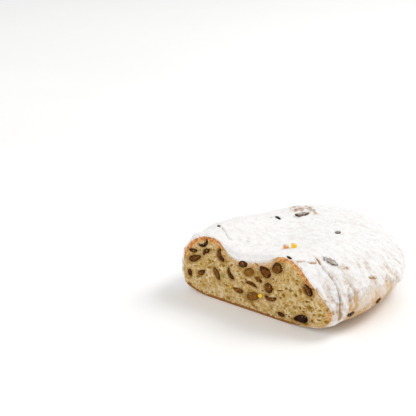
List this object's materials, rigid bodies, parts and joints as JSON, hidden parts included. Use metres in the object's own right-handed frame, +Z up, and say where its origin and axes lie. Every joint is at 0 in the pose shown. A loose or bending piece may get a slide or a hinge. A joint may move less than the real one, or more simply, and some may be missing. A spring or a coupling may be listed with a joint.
{
  "type": "stollen",
  "caption": "Cut half of a Christmas stollen: a folded oval fruit loaf with raisins in its flat cut face, under a thick coat of icing sugar.",
  "frame": {"origin": "under the middle of the loaf, at the centre of the bottom of its bounding box, on the plane it rests on", "axes": "+Z up, +Y from the flat cut face to the rounded end, +X to the right as one faces the cut"},
  "size_m": [0.1634, 0.1594, 0.0561],
  "materials": {
    "crumb": "dense yellow yeast crumb with a thin golden-brown crust",
    "icing_sugar": "matt powdery icing sugar, pressed on in a thick uneven coat",
    "raisin": "dark moist dried grape, slightly glossy and wrinkled"
  },
  "bodies": {
    "root": {"loaf": "crumb", "sugar_coat": "icing_sugar", "raisin_01": "raisin", "raisin_02": "raisin", "raisin_03": "raisin", "raisin_04": "raisin", "raisin_05": "raisin", "raisin_06": "raisin", "raisin_07": "raisin", "raisin_08": "raisin", "raisin_09": "raisin", "raisin_10": "raisin", "raisin_11": "raisin", "raisin_12": "raisin", "raisin_13": "raisin", "raisin_14": "raisin", "raisin_15": "raisin", "raisin_16": "raisin", "raisin_17": "raisin", "raisin_18": "raisin", "raisin_19": "raisin", "raisin_20": "raisin", "raisin_21": "raisin", "raisin_22": "raisin"}
  },
  "joints": []
}
